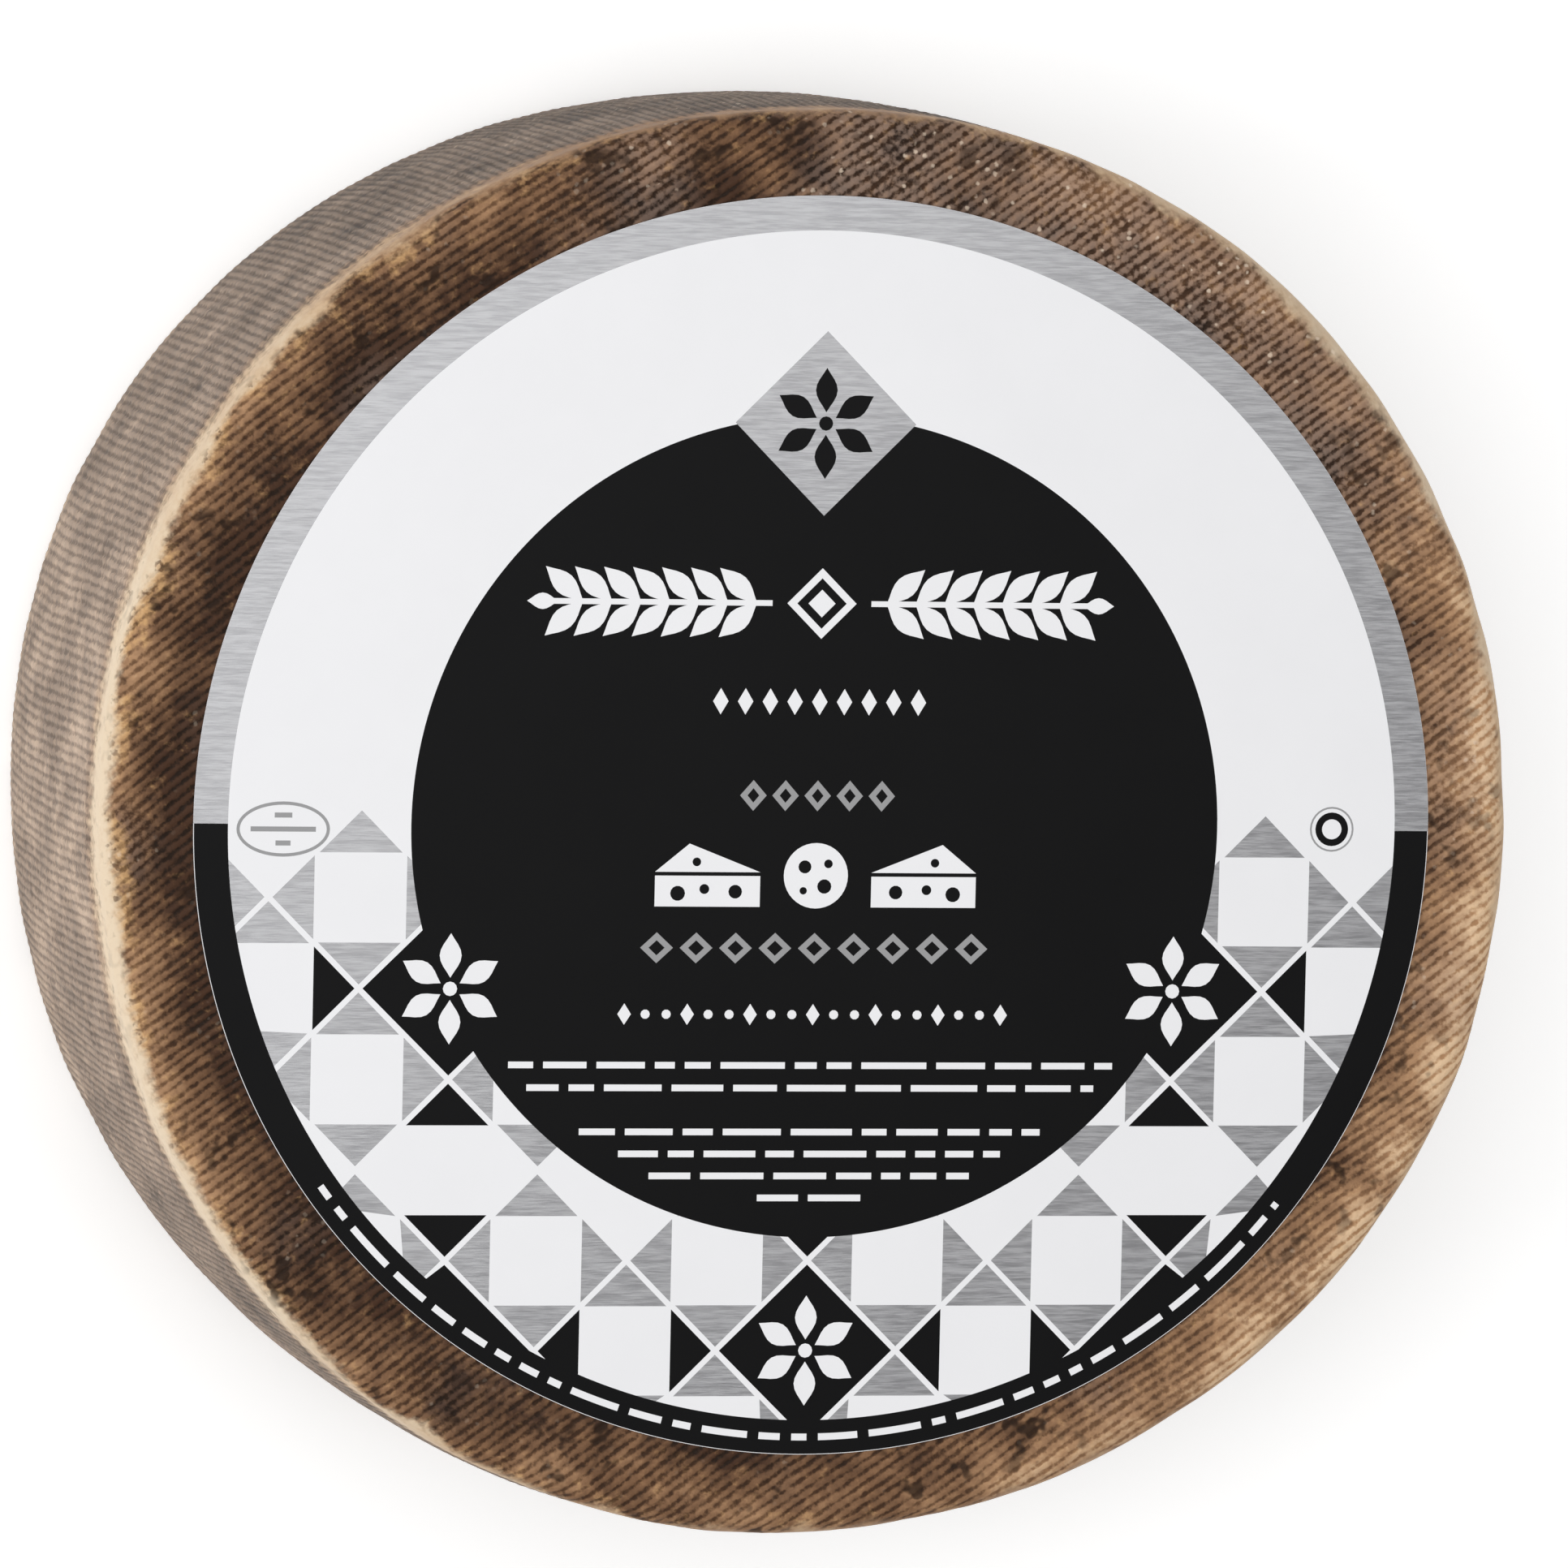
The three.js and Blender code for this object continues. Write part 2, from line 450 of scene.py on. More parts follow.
top_quads = grid_quads(*top_x.shape, 0, False)[0][:, ::-1]
base_quads = grid_quads(*base_x.shape, base_first, False)[0]
side_quads, side_rows, side_columns = grid_quads(*side_x.shape, side_first, True)
top_ring = side_first + np.arange(columns)
base_ring = base_first - columns + np.arange(columns)
top_strip = sewn_strip(rim_of_grid(*top_x.shape, 0), top_ring)
base_strip = sewn_strip(rim_of_grid(*base_x.shape, base_first), base_ring)[:, ::-1]
quads = len(top_quads) + len(base_quads) + len(side_quads)
print(2 * quads + len(top_strip) + len(base_strip), "triangles")

# %% [markdown]
# Every corner gets its place on the cloth, counted in ribs, as a UV map. The material reads it, so
# its grooves fall exactly in the grooves of the mesh. It is kept per corner, because the count round
# the side has to start again at 0 after the last rib, and because the cloth of the face ends on the
# worn edge, where the cloth of the side begins.

# %% Mesh of the rind
def corner_places():
    """The UV of every corner, in the order of the faces: top, base and side quads, then both strips."""
    side_corners = side_place[side_quads - side_first]
    past_seam = side_columns >= columns
    side_corners[..., 0] += np.where(past_seam, SIDE_RIBS, 0)
    over_arc = (side_rows[:, 1] < TOP_BANDS)[:, None, None]
    side_corners = np.where(over_arc, face_place[side_quads], side_corners)
    strips = [face_place[top_strip], face_place[base_strip]]
    blocks = [face_place[top_quads], face_place[base_quads], side_corners] + strips
    return np.concatenate([block.reshape(-1, 2) for block in blocks])


def rind_mesh():
    """One closed mesh, with the place on the cloth as UV and the rind's values as attributes."""
    blocks = (top_quads, base_quads, side_quads, top_strip, base_strip)
    faces = [face for block in blocks for face in block.tolist()]
    mesh = bpy.data.meshes.new("rind")
    mesh.from_pydata(rind_points.tolist(), [], faces)
    mesh.uv_layers.new(name="cloth").data.foreach_set("uv", corner_places().astype(np.float32).ravel())
    values_of = {"wear": wear, "side": side_share, "tone_and_shade": tone_and_shade}
    values_of |= {"ivory_and_light": ivory_and_light, "warmth": warmth, "weave_sheen_and_glints": weave_sheen_and_glints}
    for name, values in values_of.items():
        mesh.attributes.new(name, "FLOAT", "POINT").data.foreach_set("value", values.astype(np.float32))
    mesh.shade_smooth()
    mesh.validate()
    return mesh


rind = add_object("rind", rind_mesh())
print(len(rind.data.vertices), "points", len(rind.data.polygons), "faces")

# %% [markdown]
# Materials are built from a few small helpers. Colours are written as they look on a screen and turned
# into linear light, which is what the shader counts in.

# %% Node helpers
def linear(red, green, blue):
    """An sRGB colour given as 0..255, as linear light with alpha 1."""
    shares = np.array([red, green, blue]) / 255
    light = np.where(shares <= 0.04045, shares / 12.92, ((shares + 0.055) / 1.055) ** 2.4)
    return (*light.tolist(), 1.0)


def node(tree, kind, inputs=None, **settings):
    """Adds a node, applies its settings, and fills inputs by name or number: a socket is linked and
    anything else is set as the value."""
    made = tree.nodes.new(kind)
    for name, value in settings.items():
        setattr(made, name, value)
    for key, value in (inputs or {}).items():
        socket = made.inputs[key]
        if isinstance(value, bpy.types.NodeSocket):
            tree.links.new(value, socket)
        else:
            socket.default_value = value
    return made


def maths(tree, operation, *values):
    """The result of one Math node."""
    made = node(tree, "ShaderNodeMath", dict(enumerate(values)), operation=operation)
    return made.outputs[0]


def times(tree, first, second):
    """first * second."""
    return maths(tree, "MULTIPLY", first, second)


def plus(tree, first, second):
    """first + second."""
    return maths(tree, "ADD", first, second)


def centred(tree, mask, size):
    """A mask moved to lie about 0 and scaled."""
    return times(tree, maths(tree, "SUBTRACT", mask, 0.5), size)


def between(tree, value, low, high, to_low=0.0, to_high=1.0):
    """value carried smoothly from low..high to to_low..to_high, and held at both ends."""
    inputs = {"Value": value, "From Min": low, "From Max": high, "To Min": to_low, "To Max": to_high}
    return node(tree, "ShaderNodeMapRange", inputs, interpolation_type="SMOOTHSTEP").outputs[0]


def mixed(tree, share, first, second):
    """The result of mixing two colours by a share of 0..1."""
    return node(tree, "ShaderNodeMix", {0: share, 6: first, 7: second}, data_type="RGBA").outputs[2]


def noise(tree, place, scale, detail=2.0, roughness=0.5):
    """The value of a noise texture, about 0.5 on average."""
    inputs = {"Vector": place, "Scale": scale, "Detail": detail, "Roughness": roughness}
    return node(tree, "ShaderNodeTexNoise", inputs).outputs[0]


def stretched(tree, place, x, y, z, shift=0.0):
    """A place scaled along each axis, so that a noise read there is drawn out the other way."""
    inputs = {"Vector": place, "Scale": (x, y, z), "Location": (shift, shift, shift)}
    return node(tree, "ShaderNodeMapping", inputs).outputs[0]


def new_material(name):
    """A material with an empty tree: returns it, its tree, and the place of a point on the object."""
    material = bpy.data.materials.new(name)
    material.use_nodes = True
    tree = material.node_tree
    tree.nodes.clear()
    return material, tree, node(tree, "ShaderNodeTexCoord").outputs["Object"]


def shaded(tree, inputs):
    """The material's one shader, with its inputs filled, joined to the output."""
    shader = node(tree, "ShaderNodeBsdfPrincipled", inputs)
    node(tree, "ShaderNodeOutputMaterial", {0: shader.outputs[0]})


def bumped(tree, height, strength=1.0):
    """The normal that a height in metres gives."""
    return node(tree, "ShaderNodeBump", {"Height": height, "Distance": 1.0, "Strength": strength}).outputs[0]


def new_group(name, output, **values):
    """A shader node group that is given a place and some values, each with its default, and puts out
    one value. Returns it, what it is given, and its outputs."""
    group = bpy.data.node_groups.new(name, "ShaderNodeTree")
    group.interface.new_socket("Place", in_out="INPUT", socket_type="NodeSocketVector")
    for title, default in values.items():
        socket = group.interface.new_socket(title, in_out="INPUT", socket_type="NodeSocketFloat")
        socket.default_value = default
    group.interface.new_socket(output, in_out="OUTPUT", socket_type="NodeSocketFloat")
    return group, group.nodes.new("NodeGroupInput").outputs, group.nodes.new("NodeGroupOutput").inputs


def placed(tree, group, place, **values):
    """What a group puts out at a place, with these values."""
    return node(tree, "ShaderNodeGroup", {"Place": place, **values}, node_tree=group).outputs[0]


# %% [markdown]
# Two effects are shared. Mottle is a patchy mask, used for stains on the rind and for the faint cloudiness
# of paper. Tooth is the fine grain that any dry surface has, used as a bump. Each is a group,
# built once and placed with its own values.

# %% Shared groups
def mottle_group():
    """Noise at two sizes, three parts large to one part small, pushed apart about its middle."""
    group, given, out = new_group("mottle", "Mask", Scale=50.0, Contrast=1.0)
    small_scale = times(group, given["Scale"], 3.7)
    large = noise(group, given["Place"], given["Scale"], 3.0, 0.6)
    small = noise(group, given["Place"], small_scale, 2.0, 0.5)
    both = plus(group, times(group, large, 0.75), times(group, small, 0.25))
    lifted = plus(group, centred(group, both, given["Contrast"]), 0.5)
    group.links.new(node(group, "ShaderNodeClamp", {0: lifted}).outputs[0], out["Mask"])
    return group


def mottled(tree, place, scale, contrast):
    """The mask of one mottle."""
    return placed(tree, mottle, place, Scale=scale, Contrast=contrast)


def tooth_group():
    """Fine noise turned into a height, in metres."""
    group, given, out = new_group("tooth", "Height", Scale=2000.0, Depth=0.00002)
    grain = noise(group, given["Place"], given["Scale"], 2.0, 0.6)
    group.links.new(times(group, grain, given["Depth"]), out["Height"])
    return group


mottle = mottle_group()
tooth = tooth_group()
print("groups", mottle.name, tooth.name)

# %% [markdown]
# The rind's finish. The grooves are darker and the crowns of the ribs lighter, partly from mould, oil and
# rubbing and partly as painted shade in the grooves and painted highlight on the crowns.
# Cross threads break each crown into beads, most plainly at the upper right, where the crowns also carry a
# painted sheen of pale pinkish grey and small painted glints. The tone of the mesh, with its painted shade,
# picks the pair of colours, from nearly black to tan.
# The side dried greyish beige, and the worn corner is bare ivory paste with brown pits beside it.

# %% Cloth marks
def relief_group():
    """The height of the cloth's print, 0..1: crown = (1 + cos 2 pi across) / 2, lowered between the
    beads by the share of weave, with both places warped so that no thread is drawn with a ruler."""
    group, given, out = new_group("cloth_relief", "Height", Weave=0.3)
    split = node(group, "ShaderNodeSeparateXYZ", {0: given["Place"]}).outputs
    wander = noise(group, stretched(group, given["Place"], 0.7, 0.16, 1.0), 1.0, 2.0)
    warp = centred(group, wander, 0.5)
    slide = noise(group, stretched(group, given["Place"], 1.0, 0.35, 1.0, 9.0), 0.8, 1.0)
    across = plus(group, split[0], warp)
    along = plus(group, split[1], times(group, slide, 1.6))
    crown = wave(group, across)
    bead = wave(group, times(group, along, 1.05))
    gap = times(group, maths(group, "SUBTRACT", 1.0, bead), given["Weave"])
    height = times(group, crown, maths(group, "SUBTRACT", 1.0, gap))
    group.links.new(height, out["Height"])
    return group


def wave(tree, ribs):
    """(1 + cos(2 pi ribs)) / 2."""
    cosine = maths(tree, "COSINE", times(tree, ribs, 2 * math.pi))
    return maths(tree, "MULTIPLY_ADD", cosine, 0.5, 0.5)


def ramp(tree, value, colours):
    """A colour ramp through colours, each a (place, colour)."""
    made = node(tree, "ShaderNodeValToRGB", {0: value})
    elements = made.color_ramp.elements
    while len(elements) < len(colours):
        elements.new(0.5)
    for element, (position, colour) in zip(elements, colours):
        element.position = position
        element.color = colour
    return made.outputs[0]


def attribute(tree, name):
    """A value kept on the mesh's points."""
    return node(tree, "ShaderNodeAttribute", attribute_name=name).outputs["Fac"]


relief = relief_group()

# %% Rind material
def stops(*rows):
    """The stops of a colour ramp, from rows of place, red, green and blue."""
    return [(place, linear(*colour)) for place, *colour in rows]


# crown and groove colours: the rind's colour, with painted highlight on the crowns and painted shade in the
# grooves
FACE_CROWN = stops((0, 70, 47, 33), (0.33, 128, 95, 69), (0.66, 174, 136, 102), (1, 222, 190, 154))
FACE_GROOVE = stops((0, 35, 23, 15), (0.33, 68, 46, 31), (0.66, 120, 88, 62), (1, 170, 130, 94))
SIDE_CROWN = stops((0, 104, 91, 80), (0.5, 156, 137, 121), (1, 210, 186, 164))
SIDE_GROOVE = stops((0, 64, 54, 48), (0.5, 114, 99, 87), (1, 164, 144, 127))
BARE = stops((0, 118, 88, 64), (0.35, 162, 128, 97), (0.62, 201, 173, 141), (1, 216, 197, 171))
# painted sheen: pale pinkish grey laid over the crowns at the upper right
PAINTED_SHEEN = linear(188, 168, 155)
GOLDEN = linear(206, 164, 112)
PIT = linear(84, 56, 34)
MOULD = linear(41, 27, 18)
# painted glints: small pale dots, most at the upper right
PAINTED_GLINT = linear(226, 206, 184)
PRINT_DEPTH = 0.00008
SPECKLE_DEPTH = 0.00012
SPOT_DEPTH = -0.00005
# how the spots fade with each value of the mesh: name, from low and high, to low and high
SPOT_FADES = [("side", 0.0, 1.0, 0.88, 0.3), ("weave_sheen_and_glints", 0.2, 0.5, 1.0, 0.45)]
SPOT_FADES += [("wear", 0.3, 1.0, 1.0, 0.25), ("tone_and_shade", 0.35, 0.6, 1.0, 0.6)]


def rind_colour(tree, place, crown, worn, grit):
    """The colour of the rind before its spots: the face, the side, the bare corner and its brown pits."""
    side = attribute(tree, "side")
    stain = mottled(tree, place, 150.0, 2.6)
    speckle = mottled(tree, place, 420.0, 2.4)
    blotch = plus(tree, centred(tree, stain, 0.34), centred(tree, speckle, 0.30))
    light = plus(tree, attribute(tree, "tone_and_shade"), blotch)
    # painted sheen on the crowns, most at the upper right
    sheen = times(tree, between(tree, attribute(tree, "weave_sheen_and_glints"), 0.14, 0.5, 0.0, 0.28), crown)
    # lighter crowns and darker grooves: partly painted highlight and shade on the ribs
    face = mixed(tree, crown, ramp(tree, light, FACE_GROOVE), ramp(tree, light, FACE_CROWN))
    face = mixed(tree, sheen, face, PAINTED_SHEEN)
    flank = mixed(tree, crown, ramp(tree, light, SIDE_GROOVE), ramp(tree, light, SIDE_CROWN))
    lumps = plus(tree, attribute(tree, "warmth"), centred(tree, speckle, 0.9))
    lumps = between(tree, lumps, 0.15, 0.95)
    warm = times(tree, lumps, between(tree, crown, 0.0, 1.0, 0.45, 0.9))
    colour = mixed(tree, side, mixed(tree, warm, face, GOLDEN), flank)
    # the bare paste's colour, lightest at the left partly as painted light
    bare_tone_and_light = plus(tree, attribute(tree, "ivory_and_light"), centred(tree, speckle, 0.3))
    rub = between(tree, plus(tree, worn, centred(tree, speckle, 0.45)), 0.20, 0.90)
    colour = mixed(tree, rub, colour, ramp(tree, bare_tone_and_light, BARE))
    pit = times(tree, between(tree, grit, 0.34, 0.42, 0.9, 0.0), attribute(tree, "warmth"))
    pit = times(tree, pit, between(tree, worn, 0.5, 1.0, 1.0, 0.15))
    return mixed(tree, pit, colour, PIT), rub, speckle


def with_mould_and_glints(tree, place, colour):
    """Dark mould spots where two noises both run high, and small pale dots in between as painted glints."""
    patches = noise(tree, place, 260.0, 2.0, 0.6)
    region = noise(tree, stretched(tree, place, 1, 1, 1, 3.0), 60.0, 1.0)
    spot = times(tree, between(tree, patches, 0.56, 0.66), between(tree, region, 0.44, 0.56))
    for name, *fade in SPOT_FADES:
        spot = times(tree, spot, between(tree, attribute(tree, name), *fade))
    spotted = mixed(tree, spot, colour, MOULD)
    torn = node(tree, "ShaderNodeTexNoise", {"Vector": place, "Scale": 1400.0}).outputs["Color"]
    tear = {0: torn, 1: (0.0006, 0.0006, 0.0006), 2: place}
    shifted = node(tree, "ShaderNodeVectorMath", tear, operation="MULTIPLY_ADD")
    cells = node(tree, "ShaderNodeTexVoronoi", {"Vector": shifted.outputs[0], "Scale": 760.0}).outputs
    chosen = node(tree, "ShaderNodeSeparateColor", {0: cells["Color"]}).outputs[0]
    # painted glints: pale dots in a share of the cells, most at the upper right
    glint = between(tree, cells["Distance"], 0.14, 0.34, 1.0, 0.0)
    glint = times(tree, glint, between(tree, chosen, 0.72, 0.94))
    glint = times(tree, glint, between(tree, attribute(tree, "weave_sheen_and_glints"), 0.1, 0.5, 0.03, 0.7))
    return mixed(tree, glint, spotted, PAINTED_GLINT), spot


def rind_material():
    """The rind: dry roughness, a little less on the bare corner, and a bump of the cloth, pits and tooth."""
    material, tree, place = new_material("rind")
    cloth = node(tree, "ShaderNodeUVMap", uv_map="cloth").outputs[0]
    worn = attribute(tree, "wear")
    beads = maths(tree, "MULTIPLY_ADD", attribute(tree, "side"), 0.28, attribute(tree, "weave_sheen_and_glints"))
    print_height = placed(tree, relief, cloth, Weave=beads)
    clear = mottled(tree, place, 95.0, 2.6)
    print_height = times(tree, print_height, between(tree, clear, 0.1, 0.7, 0.5, 1.0))
    grit = noise(tree, stretched(tree, place, 1, 1, 1, 5.0), 620.0, 2.0, 0.6)
    grain = noise(tree, place, 1500.0, 3.0, 0.65)
    broken = plus(tree, centred(tree, grain, 1.35), centred(tree, grit, 1.1))
    rough_print = plus(tree, print_height, broken)
    crown = between(tree, rough_print, -0.10, 0.58)
    colour, rub, speckle = rind_colour(tree, place, crown, worn, grit)
    colour, spot = with_mould_and_glints(tree, place, colour)
    unworn = maths(tree, "SUBTRACT", 1.0, times(tree, worn, 0.85))
    height = times(tree, rough_print, PRINT_DEPTH)
    height = plus(tree, height, times(tree, speckle, SPECKLE_DEPTH))
    fine = placed(tree, tooth, place, Scale=2200.0, Depth=0.00005)
    height = plus(tree, height, fine)
    height = times(tree, height, unworn)
    height = plus(tree, height, times(tree, spot, SPOT_DEPTH))
    dry = between(tree, speckle, 0.0, 1.0, 0.6, 0.84)
    rough = maths(tree, "SUBTRACT", dry, times(tree, rub, 0.14))
    shaded(tree, {
        "Base Color": colour,
        "Roughness": rough,
        "Normal": bumped(tree, height, 0.8),
        "Specular IOR Level": 0.14,
    })
    return material


rind.data.materials.append(rind_material())
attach(rind, "root")
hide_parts("cheese_wheel")

# %% [markdown]
# The label is a disc of coated paper, printed in silver foil, black and grey. Its print is cut into the
# mesh, so that every edge stays sharp from close by. The print is a pile of plain shapes in painter's
# order. A triangulation that keeps every outline as an edge splits the disc along them, and each
# triangle takes the ink of the topmost shape over it. All the ornament is generic: rules, lozenges,
# leaves, rosettes.

# %% Shapes of the print
PAPER, FOIL, BLACK, GREY = range(4)
HELD_WITHIN = 0.985
print_shapes = []  # (outline points, ink), the last on top


def add_shape(points, ink):
    """Puts one outline on the pile, turned to run anticlockwise. Its points are held inside the rim."""
    points = np.asarray(points, float)
    following = np.roll(points, -1, axis=0)
    if (points[:, 0] * following[:, 1] - points[:, 1] * following[:, 0]).sum() < 0:
        points = points[::-1]
    reach = np.hypot(points[:, 0], points[:, 1])
    held = np.minimum(1, HELD_WITHIN / np.maximum(reach, 1e-9))
    print_shapes.append((points * held[:, None], ink))


def oval(x, y, half_width, half_height, points=24):
    """(x + a cos t, y + b sin t) for t round the circle."""
    t = 2 * np.pi * np.arange(points) / points
    return np.stack([x + half_width * np.cos(t), y + half_height * np.sin(t)], axis=1)


def arc_band(inner, outer, from_degrees, to_degrees, steps):
    """The part of a ring between two angles: out along one arc and back along the other."""
    t = np.radians(np.linspace(from_degrees, to_degrees, steps + 1))
    arc = np.stack([np.cos(t), np.sin(t)], axis=1)
    return np.concatenate([outer * arc, inner * arc[::-1]])


def lozenge(x, y, half_width, half_height):
    """A diamond with its corners on the axes."""
    corners = np.array([[1, 0], [0, 1], [-1, 0], [0, -1]])
    return corners * [half_width, half_height] + [x, y]


def bar(x, y, width, height):
    """An upright rectangle about (x, y)."""
    corners = np.array([[0.5, -0.5], [0.5, 0.5], [-0.5, 0.5], [-0.5, -0.5]])
    return corners * [width, height] + [x, y]


def petal(x, y, length, width, degrees, points=9):
    """A leaf from (x, y) outwards, as wide as width * sin(pi t) ^ 1.2 at the share t of its length."""
    t = np.linspace(0, 1, points)
    half = width / 2 * np.sin(np.pi * t) ** 1.2
    lower = np.stack([length * t, -half], axis=1)
    upper = np.stack([length * t, half], axis=1)
    outline = np.concatenate([lower, upper[-2:0:-1]])
    c, s = direction(degrees)
    return outline @ np.array([[c, s], [-s, c]]) + [x, y]


def add_rosette(x, y, radius, ink):
    """Six petals about a dot."""
    for degrees in range(30, 390, 60):
        start = [x, y] + 0.2 * radius * direction(degrees)
        add_shape(petal(*start, 0.8 * radius, 0.4 * radius, degrees), ink)
    add_shape(oval(x, y, 0.13 * radius, 0.13 * radius, 12), ink)


# %% [markdown]
# The lower half of the label carries a harlequin lattice. Its crossings are counted i to the right and
# j up. Round each crossing lie up to four triangles, one on each side, with a thin line of paper between
# them. The list below is for the left half and is mirrored: the sides of each crossing that carry foil,
# and in capitals those in black. Some whole cells are black.

# %% Lattice
LATTICE_ACROSS = 0.1464
LATTICE_UP = 0.1437
LATTICE_BASE = -0.690
HALF_LINE = 0.0045
TRIANGLE_REACH = 0.0725

lattice = (
    (-5, 5, "down"), (-6, 4, "left right down"), (-4, 4, "left"), (-5, 3, "up LEFT down"),
    (-6, 2, "up right"), (-4, 2, "left right DOWN"), (-5, 1, "up down"), (-3, 1, "up down"),
    (-1, 1, "down"), (-4, 0, "UP left right"), (-2, 0, "left right down"), (0, 0, "left"),
    (-3, -1, "up RIGHT"), (-1, -1, "up LEFT down"), (-2, -2, "up"), (0, -2, "left"),
)
black_cells = ((-4, 3), (-4, -1), (0, -1), (0, 1))
sides = {"right": (1, 0), "up": (0, 1), "left": (-1, 0), "down": (0, -1)}


def crossing(i, j):
    """The place of a crossing or of the middle of a cell."""
    return np.array([i * LATTICE_ACROSS, LATTICE_BASE + j * LATTICE_UP])


def lattice_triangle(i, j, side):
    """The triangle on one side of a crossing: tip set off by the line, base square to the side."""
    out = np.array(sides[side])
    across = np.array([-out[1], out[0]])
    tip = HALF_LINE * math.sqrt(2)
    base = crossing(i, j) + out * TRIANGLE_REACH
    half = (TRIANGLE_REACH - tip) * across
    return np.stack([crossing(i, j) + out * tip, base - half, base + half])


for i, j, marks in lattice:
    for side in marks.split():
        outline = lattice_triangle(i, j, side.lower())
        ink = BLACK if side.isupper() else FOIL
        add_shape(outline, ink)
        add_shape(outline * [-1, 1], ink)
inset = HALF_LINE * math.sqrt(2)
for i, j in black_cells:
    for turned in {i, -i}:
        add_shape(lozenge(*crossing(turned, j), LATTICE_ACROSS - inset, LATTICE_UP - inset), BLACK)

# %% [markdown]
# Over the lattice lie the rim, the black disc with its ornament, and two small marks. Sizes are shares
# of the label's radius.

# %% Rim, disc and ornament
RIM_INNER = 0.945
RIM_OUTER = 0.9991
RIM_EDGE = 0.9998
DISC_RADIUS = 0.653
MEDALLION_UP = 0.64
MEDALLION_HALF = 0.146
MARK_RADIUS = 0.088

rim_steps = 180
print_shapes.append((arc_band(RIM_INNER, RIM_EDGE, 0, 180, rim_steps), FOIL))
print_shapes.append((arc_band(RIM_INNER, RIM_OUTER, 180, 360, rim_steps), BLACK))
add_shape(oval(0, 0, DISC_RADIUS, DISC_RADIUS, 240), BLACK)
add_shape(lozenge(0, MEDALLION_UP, MEDALLION_HALF, MEDALLION_HALF), FOIL)
add_rosette(0, MEDALLION_UP, MARK_RADIUS, BLACK)
for i, j in ((-4, 3), (4, 3), (0, -1)):
    add_rosette(*crossing(i, j), MARK_RADIUS, PAPER)

# the garland: two leafy stems and a lozenge between them
GARLAND_UP = 0.355
for way in (-1, 1):
    add_shape(bar(way * 0.265, GARLAND_UP, 0.37, 0.009), PAPER)
    for place in np.linspace(0.105, 0.385, 7):
        for lean in (-42, 42):
            leaf = petal(place, 0, 0.082, 0.034, lean)
            add_shape(leaf * [way, 1] + [0, GARLAND_UP], PAPER)
    add_shape(petal(0.425, 0, 0.05, 0.026, 0) * [way, 1] + [0, GARLAND_UP], PAPER)
for half, ink in ((0.056, PAPER), (0.040, BLACK), (0.022, PAPER)):
    add_shape(lozenge(0, GARLAND_UP, half, half), ink)


def add_lozenge_row(half_row, count, y, *sizes):
    """A row of lozenges, each drawn once for every (half width, half height, ink)."""
    for x in np.linspace(-half_row, half_row, count):
        for half_width, half_height, ink in sizes:
            add_shape(lozenge(x, y, half_width, half_height), ink)


# two rows of lozenges in white and grey
add_lozenge_row(0.16, 9, 0.199, (0.0125, 0.021, PAPER))
add_lozenge_row(0.104, 5, 0.05, (0.0215, 0.0245, GREY), (0.0095, 0.0115, BLACK))

# a cheese between two wedges
CHEESE_UP = -0.077
add_shape(oval(0, CHEESE_UP, 0.052, 0.052, 40), PAPER)
cheese_holes = [(-0.018, 0.014, 0.0105), (0.02, 0.019, 0.007)]
cheese_holes += [(0.014, -0.017, 0.0115), (-0.02, -0.024, 0.006)]
wedge_holes = [(-0.045, -0.026, 0.011), (0.005, -0.022, 0.008)]
wedge_holes += [(0.048, -0.029, 0.012), (0.018, 0.021, 0.007)]
wedge = np.array([(-0.085, -0.05), (0.085, -0.05), (0.085, 0.005), (0.03, 0.05), (-0.085, 0.005)])
wedge_line = np.array([(-0.085, -0.001), (0.085, -0.001), (0.085, 0.005), (-0.085, 0.005)])
for x, y, radius in cheese_holes:
    add_shape(oval(x, CHEESE_UP + y, radius, radius, 14), BLACK)
for way in (-1, 1):
    mirror = np.array([way, 1])
    middle = np.array([way * 0.175, CHEESE_UP])
    add_shape(wedge * mirror + middle, PAPER)
    add_shape(wedge_line * mirror + middle, BLACK)
    for x, y, radius in wedge_holes:
        add_shape(oval(x, y, radius, radius, 14) * mirror + middle, BLACK)

# a grey row and a white row under them
add_lozenge_row(0.255, 9, -0.1925, (0.0265, 0.0245, GREY), (0.013, 0.012, BLACK))
for number, place in enumerate(np.linspace(-0.305, 0.305, 19)):
    if number % 3:
        add_shape(oval(place, -0.298, 0.0075, 0.0075, 10), PAPER)
    else:
        add_shape(lozenge(place, -0.298, 0.011, 0.017), PAPER)


def add_bars(y, half_width, height, rng):
    """A row of short bars of random length that fills the width, like a ruled line broken by hand."""
    x = -half_width
    while x < half_width - 0.02:
        length = min(rng.uniform(0.03, 0.11), half_width - x)
        add_shape(bar(x + length / 2, y, length, height), PAPER)
        x += length + 0.016


rng = np.random.default_rng(11)
bar_rows = ((-0.379, 0.49), (-0.415, 0.46), (-0.485, 0.374), (-0.52, 0.31), (-0.555, 0.26), (-0.59, 0.084))
for y, half_width in bar_rows:
    add_bars(y, half_width, 0.0105, rng)
place = 216.0
while place < 322:
    length = rng.uniform(1.2, 5.5)
    print_shapes.append((arc_band(0.9665, 0.9775, place, min(place + length, 322), 6), PAPER))
    place += length + 1.1

